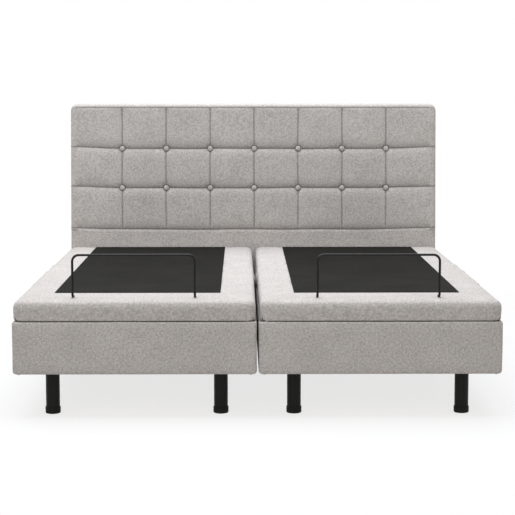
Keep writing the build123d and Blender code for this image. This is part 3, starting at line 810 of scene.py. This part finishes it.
# ---- one bed unit
@dataclass
class Unit:
    """One motorised unit: its upholstered box, padded deck sections and grip cloth."""

    side: str
    deck_corner: float = 0.034
    edge_round: float = 0.021
    inner_round: float = 0.014
    cloth_half: float = 0.313
    cloth_head_margin: float = 0.075
    cloth_foot_margin: float = 0.205
    bridge_reach: float = 0.024
    cell: float = 0.0092

    @property
    def sections(self) -> dict[str, str]:
        """Each deck section with the body that carries it."""
        bodies = {name: f"{self.side}_{name}" for name in ("back", "thigh", "calf")}
        return {"seat": "root", **bodies}

    def build(self) -> None:
        """Make and dress every piece."""
        self.make_box_cover()
        pads = [self.make_pad(section, body) for section, body in self.sections.items()]
        graph = bpy.context.evaluated_depsgraph_get()
        trees = [BVHTree.FromObject(pad, graph) for pad in pads]
        self.make_bridges(trees)
        self.make_cloths(trees)

    def make_box_cover(self) -> None:
        """The fabric box: round corners, soft rims turned in over the timber, slight waves between."""
        low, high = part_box(f"{self.side}_box_cover")
        cover = block(f"{self.side}_box_upholstery", low, high)
        bevel_edges(cover, lambda a, b: abs(a.z - b.z) > 0.1, 0.014, 6)
        edit(cover, "FACE")
        mesh = bmesh.from_edit_mesh(cover.data)
        for face in mesh.faces:
            face.select_set(abs(face.normal.z) > 0.9)
        bmesh.update_edit_mesh(cover.data)
        bpy.ops.mesh.inset(thickness=0.0245, depth=0)
        bpy.ops.mesh.delete(type="FACE")
        bpy.ops.object.mode_set(mode="OBJECT")
        for level, radius in ((low.z, 0.0135), (high.z, 0.006)):
            bevel_edges(
                cover, lambda *ends, z=level: all(self.on_rim(end, z, low, high) for end in ends), radius, 4
            )
        self.slice_walls(cover, low, high)
        reshape(cover, lambda place: self.wave(place, low, high))
        modify(cover, "SOLIDIFY", thickness=0.0035, offset=-1)
        smooth(cover, 50)
        dress(cover, Finish.BORDER, "root")
        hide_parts(f"{self.side}_box_cover")

    @staticmethod
    def on_rim(place: Vector, level: float, low: Vector, high: Vector) -> bool:
        """Whether a point lies where the box's outer wall meets its top or its bottom."""
        inner = 0.0145
        outer_x = place.x < low.x + inner or place.x > high.x - inner
        outer_y = place.y < low.y + inner or place.y > high.y - inner
        return abs(place.z - level) < 1e-4 and (outer_x or outer_y)

    def slice_walls(self, cover: Piece, low: Vector, high: Vector) -> None:
        """Cut the walls into a grid fine enough to wave."""
        activate(cover)
        bpy.ops.object.mode_set(mode="EDIT")
        size = high - low
        cuts: list[tuple[Vector, Point]] = []
        for normal, count in (((1, 0, 0), 14), ((0, 1, 0), 30), ((0, 0, 1), 5)):
            step = size * Vector(normal)
            cuts += [(low + step * number / count, normal) for number in range(1, count)]
        for place, normal in cuts:
            bpy.ops.mesh.select_all(action="SELECT")
            bpy.ops.mesh.bisect(plane_co=place, plane_no=normal)
        bpy.ops.object.mode_set(mode="OBJECT")

    def wave(self, place: Vector, low: Vector, high: Vector) -> Vector:
        """Draw the walls in and out a little, as stretched fabric lies on timber."""
        seed = 3.0 if self.side == "left" else 8.0
        middle = (low + high) / 2
        amount = 0.0012 * noise.noise(Vector((place.x * 5, place.y * 3, place.z * 9 + seed)))
        amount = max(amount, -0.0003) + 0.0006
        out_x = min(1.0, abs(place.x - middle.x) / (high.x - middle.x)) ** 40
        out_y = min(1.0, abs(place.y - middle.y) / (high.y - middle.y)) ** 60
        place.x += math.copysign(amount * out_x, place.x - middle.x)
        if place.y < middle.y:
            place.y -= amount * out_y
        if place.z > high.z - 0.01:
            place.z += 0.0014 * noise.noise(Vector((place.x * 9, place.y * 5, seed)))
        return place

    def make_pad(self, section: str, body: str) -> Piece:
        """A deck pad: crowned, with round upper edges and sides that swell a little."""
        node = f"{self.side}_{section}_pad"
        low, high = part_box(node)
        pad = self.copied_pad(section, low) or self.swollen_pad(section, low, high)
        pad.name = f"{self.side}_{section}_cushion"
        reshape(pad, lambda place: self.keep_pad(place, low, high, section))
        subdivide(pad)
        smooth(pad, 60)
        dress(pad, Finish.BORDER, body)
        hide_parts(node)
        return pad

    def swollen_pad(self, section: str, low: Vector, high: Vector) -> Piece:
        """Model one pad from a block, swell it and keep an unfinished copy for the other unit."""
        shrink, slit, sink = 0.002, 0.0005, 0.001
        pad = block(
            "cushion",
            (low.x + shrink, low.y + slit, low.z - sink),
            (high.x - shrink, high.y - slit, high.z - shrink),
        )
        ends = {"calf": low.y, "back": high.y}
        if section in ends:
            end = ends[section]
            corner = self.deck_corner
            bevel_edges(pad, lambda a, b: abs(a.z - b.z) > 0.05 and abs(a.y - end) < 0.01, corner, 6)
        round_top = self.edge_round if section in ends else self.inner_round
        bevel_edges(pad, lambda a, b: min(a.z, b.z) > high.z - 0.01, round_top, 4)
        bevel_edges(pad, lambda a, b: max(a.z, b.z) < low.z + 0.01, 0.004, 2)
        modify(pad, "REMESH", mode="VOXEL", voxel_size=self.cell)
        inflate(pad, lambda place: place.z < low.z + 0.004, pressure=4.0, travel=0.004)
        PLAIN_PADS[section] = (pad.data.copy(), low.x)
        return pad

    @staticmethod
    def copied_pad(section: str, low: Vector) -> Piece | None:
        """The same pad as on the other unit, moved across, or nothing if it isn't made yet."""
        if section not in PLAIN_PADS:
            return None
        mesh, from_x = PLAIN_PADS[section]
        pad = bpy.data.objects.new("cushion", mesh.copy())
        bpy.context.scene.collection.objects.link(pad)
        reshape(pad, lambda place: place + Vector((low.x - from_x, 0, 0)))
        return pad

    def keep_pad(self, place: Vector, low: Vector, high: Vector, section: str) -> Vector:
        """Hold a pad clear of its neighbours, flat beneath and level on top."""
        gap = 0.0008
        outer = 0.0015
        foot = -outer if section == "calf" else gap
        head = -outer if section == "back" else gap
        share = min(1.0, max(0.0, (place.z - low.z) / (high.z - low.z)))
        swell = 4 * share * (1 - share)
        middle = (low.x + high.x) / 2
        reach = (place.x - middle) / (high.x - middle)
        wide = 0.0055 if (reach < 0) == (self.side == "left") else 0.0025
        place.x += math.copysign(wide * swell * abs(reach) ** 12, reach)
        if section == "calf":
            along = (place.y - low.y) / (high.y - low.y)
            place.y -= 0.003 * swell * max(0.0, 1 - along) ** 30
        place.x = min(max(place.x, low.x - 0.006), high.x + 0.006)
        place.y = min(max(place.y, low.y + foot), high.y - head)
        place.z = min(max(place.z, low.z - 0.001), high.z + 0.001)
        return place

    # ---- fabric over the hinges
    def hinges(self) -> dict[str, tuple[float, str, str]]:
        """Each deck hinge with its place along the bed and the two bodies that it joins."""
        side = self.side
        box = {section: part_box(f"{side}_{section}_pad") for section in self.sections}
        return {
            "back": ((box["seat"][1].y + box["back"][0].y) / 2, "root", f"{side}_back"),
            "thigh": ((box["seat"][0].y + box["thigh"][1].y) / 2, "root", f"{side}_thigh"),
            "knee": ((box["thigh"][0].y + box["calf"][1].y) / 2, f"{side}_thigh", f"{side}_calf"),
        }

    def make_bridges(self, trees: list[BVHTree]) -> None:
        """The border fabric runs on over each hinge, so that the lying deck shows one skin."""
        low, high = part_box(f"{self.side}_seat_pad")
        half = (high.x - low.x) / 2
        middle = (high.x + low.x) / 2
        radius = self.inner_round
        hem = 0.003
        turns = [math.pi / 2 * step / 8 for step in range(9)]
        rise = high.z - radius - low.z - hem
        side = [(half, low.z + hem + rise * step / 5, 0.0) for step in range(5)]
        round_x, round_z = half - radius, high.z - radius
        bend = [(round_x + radius * math.cos(at), round_z + radius * math.sin(at), at) for at in turns]
        top = [((half - radius) * (1 - step / 12), high.z, math.pi / 2) for step in range(1, 13)]
        right = [(middle + x, z, turn) for x, z, turn in side + bend + top]
        path = right + [(2 * middle - x, z, math.pi - turn) for x, z, turn in reversed(right[:-1])]
        reach = self.bridge_reach
        steps = [step / 10 - 1 for step in range(21)]
        for name, (hinge, fixed, moving) in self.hinges().items():
            rims = [[self.on_pads(trees, point, hinge + way * reach) for point in path] for way in (-1, 1)]
            bridge = grid(
                f"{self.side}_{name}_bridge",
                list(range(len(path))),
                steps,
                lambda at, share, ends=rims: self.between(ends[0][at], ends[1][at], path[at][2], share),
            )
            modify(bridge, "SOLIDIFY", thickness=0.0009, offset=0)
            smooth(bridge, 60)
            dress(bridge, Finish.BORDER, None)
            toward = 1 if name == "back" else -1
            start, end = ((middle, hinge + turn * toward * 0.016, high.z) for turn in (-1, 1))
            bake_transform(bridge)

    @staticmethod
    def on_pads(trees: list[BVHTree], point: Point, y: float) -> Vector:
        """The place on the pads nearest outward of one point of the deck's profile."""
        x, z, turn = point
        away = Vector((math.cos(turn), 0, math.sin(turn)))
        start = Vector((x, y, z)) + away * 0.03
        hits = [tree.ray_cast(start, -away, 0.06)[0] for tree in trees]
        found = [hit for hit in hits if hit is not None]
        return min(found, key=lambda hit: (hit - start).length) if found else Vector((x, y, z))

    @staticmethod
    def between(first: Vector, last: Vector, turn: float, share: float) -> Vector:
        """A point of the taut fabric between the two pads, a little proud in the middle."""
        away = Vector((math.cos(turn), 0, math.sin(turn)))
        return first.lerp(last, (share + 1) / 2) + away * (0.0009 - 0.0009 * share**4)

    # ---- grip cloth
    def make_cloths(self, trees: list[BVHTree]) -> None:
        """Three lengths of grip cloth that meet on the seat and on the thighs and run across the hinges."""
        low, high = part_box(f"{self.side}_seat_pad")
        middle_x = (low.x + high.x) / 2
        back_y, thigh_y, knee_y = (place for place, _fixed, _moving in self.hinges().values())
        foot_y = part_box(f"{self.side}_calf_pad")[0].y
        head_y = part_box(f"{self.side}_back_pad")[1].y
        seat_mid = (back_y + thigh_y) / 2
        thigh_mid = (thigh_y + knee_y) / 2
        head_end = head_y - self.cloth_head_margin
        foot_end = foot_y + self.cloth_foot_margin
        side = self.side
        ends = {
            "back": (seat_mid, head_end, back_y, "root", f"{side}_back"),
            "thigh": (thigh_mid, seat_mid, thigh_y, "root", f"{side}_thigh"),
            "calf": (foot_end, thigh_mid, knee_y, f"{side}_thigh", f"{side}_calf"),
        }
        half, reach = self.cloth_half, 0.018
        for name, (start, end, hinge, fixed, moving) in ends.items():
            cloth = self.make_cloth(f"{side}_{name}_grip", middle_x, start, end, trees)
            dress(cloth, Finish.GRIP, None)
            toward = 1 if name == "back" else -1
            before = (middle_x, hinge - toward * reach, 0.44)
            after = (middle_x, hinge + toward * reach, 0.44)
            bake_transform(cloth)
            end - start

    def make_cloth(
        self, name: str, middle_x: float, start: float, end: float, trees: list[BVHTree]
    ) -> Piece:
        """One length of cloth, laid on the pads under it and taut over the gaps."""
        half = self.cloth_half
        steps_x = 24
        steps_y = max(8, round((end - start) / 0.012))
        across = [middle_x - half + 2 * half * step / steps_x for step in range(steps_x + 1)]
        along = [start + (end - start) * step / steps_y for step in range(steps_y + 1)]
        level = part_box(f"{self.side}_seat_pad")[1].z

        def lie(x: float, y: float) -> Point:
            """The height at which the cloth lies at one place."""
            hits = [tree.ray_cast(Vector((x, y, level + 0.05)), Vector((0, 0, -1)))[0] for tree in trees]
            tops = [hit.z for hit in hits if hit is not None]
            top = max(tops) if tops else level
            return x, y, max(top, level + 0.0018) + 0.0006

        cloth = grid(name, across, along, lie)
        modify(cloth, "SOLIDIFY", thickness=0.0012, offset=1)
        smooth(cloth, 50)
        return cloth


# ---- carried-over metal, timber and plastic
@dataclass
class Mechanism:
    """The pieces that keep their built shape and only take a finish."""

    shared: tuple[tuple[Finish, str], ...] = (
        (Finish.ZINC, "headboard_bolts hinge_pins drive_motors drive_spindles"),
        (Finish.CAP, "leg_caps"),
        (Finish.NYLON, "shaft_bearings"),
        (Finish.DRIVE, "drive_lids power_supplies"),
        (Finish.LEAD, "drive_leads"),
    )
    per_side: tuple[tuple[Finish, str], ...] = (
        (Finish.TIMBER, "box_frame"),
        (Finish.LEG, "legs"),
        (Finish.FRAME, "main_frame back_frame thigh_frame calf_frame calf_link"),
        (Finish.FRAME, "head_lift_shaft foot_lift_shaft"),
        (Finish.PLYWOOD, "seat_board back_board thigh_board calf_board"),
        (Finish.ROD, "retainer_bar"),
        (Finish.NYLON, "head_rollers foot_rollers"),
        (Finish.ZINC, "head_slider foot_slider"),
        (Finish.DRIVE, "drive_casing"),
    )

    def build(self) -> None:
        """Dress every carried-over piece."""
        tables = [("", self.shared)] + [(f"{side}_", self.per_side) for side in SIDES]
        for prefix, table in tables:
            for finish, names in table:
                for name in names.split():
                    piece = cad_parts[prefix + name]
                    piece.data.materials.clear()
                    piece.data.materials.append(finish.paint())
                    log.info("%s: dressed", prefix + name)


# ---- studio
@dataclass
class Studio:
    """A white floor, soft lights and the camera."""

    eye: Point = (-0.0591, -6.7437, 1.2099)
    pitch: float = 0.1069
    yaw: float = 0.0102
    focal_share: float = 1572.9 / 515
    sensor: float = 36.0

    def build(self) -> None:
        """Set the stage."""
        self.make_floor()
        self.make_lights()
        self.make_camera()

    def make_floor(self) -> None:
        """A plain pale floor far wider than the bed."""
        deselect()
        bpy.ops.mesh.primitive_plane_add(size=60, location=(0, 0, -0.0005))
        floor = bpy.context.object
        floor.name = "floor"
        paint = Paint("studio_floor")
        patch = paint.noise(2, 2)
        colour = paint.blend(patch, (0.70, 0.70, 0.70), (0.67, 0.67, 0.67))
        place = paint.node("ShaderNodeSeparateXYZ", {}, {0: paint.place})
        reach_x, reach_y = Value(paint, place.outputs[0]), Value(paint, place.outputs[1])
        reach = (reach_x * reach_x + reach_y * reach_y) ** 0.5
        paint.shader.inputs["Specular IOR Level"].default_value = 0.0
        paint.tree.links.new(reach.ramp(1.5, 3.4, 0.24, 0.0).socket, paint.shader.inputs["Alpha"])
        floor.data.materials.append(paint.finish(colour, patch, 0.0001, 0.9))

    def make_lights(self) -> None:
        """A white surround, a large overhead softbox and a weaker one in front."""
        scene = bpy.context.scene
        world = bpy.data.worlds.new("studio_world")
        scene.world = world
        world.use_nodes = True
        tree = world.node_tree
        surround = tree.nodes["Background"]
        surround.inputs["Color"].default_value = (1.0, 0.99, 0.975, 1.0)
        surround.inputs["Strength"].default_value = 0.62
        backdrop = tree.nodes.new("ShaderNodeBackground")
        backdrop.inputs["Color"].default_value = (1.0, 1.0, 1.0, 1.0)
        ray = tree.nodes.new("ShaderNodeLightPath")
        either = tree.nodes.new("ShaderNodeMixShader")
        tree.links.new(ray.outputs["Is Camera Ray"], either.inputs[0])
        tree.links.new(surround.outputs[0], either.inputs[1])
        tree.links.new(backdrop.outputs[0], either.inputs[2])
        tree.links.new(either.outputs[0], tree.nodes["World Output"].inputs["Surface"])
        self.softbox("overhead", (-0.5, 0.2, 3.6), (0, 0, 0), 5.0, 262, (0.91, 0.935, 1.0))
        aim = (math.radians(68), 0, math.radians(-13))
        self.softbox("front", (-1.5, -6.5, 2.8), aim, 3.0, 60, (1.0, 0.98, 0.95))
        scene.view_settings.view_transform = "Standard"

    @staticmethod
    def softbox(name: str, place: Point, turn: Point, size: float, power: float, colour: Colour) -> None:
        """One square area light."""
        data = bpy.data.lights.new(name, "AREA")
        data.size = size
        data.energy = power
        data.color = colour
        lamp = bpy.data.objects.new(name, data)
        lamp.location = place
        lamp.rotation_euler = turn
        bpy.context.scene.collection.objects.link(lamp)

    def make_camera(self) -> None:
        """A long lens at eye level, looking slightly down on the foot of the bed."""
        data = bpy.data.cameras.new("camera")
        data.sensor_width = self.sensor
        data.lens = self.focal_share * self.sensor
        data.clip_end = 100
        camera = bpy.data.objects.new("camera", data)
        camera.location = self.eye
        camera.rotation_euler = (math.pi / 2 - self.pitch, 0, -self.yaw)
        bpy.context.scene.collection.objects.link(camera)
        bpy.context.scene.camera = camera


def main() -> None:
    """Build the bed, dress it and set it in the studio."""
    logging.basicConfig(level=logging.INFO, format="%(name)s %(message)s")
    Mechanism().build()
    Headboard().build()
    for side in SIDES:
        Unit(side).build()
    Studio().build()


if __name__ == "__main__":
    main()
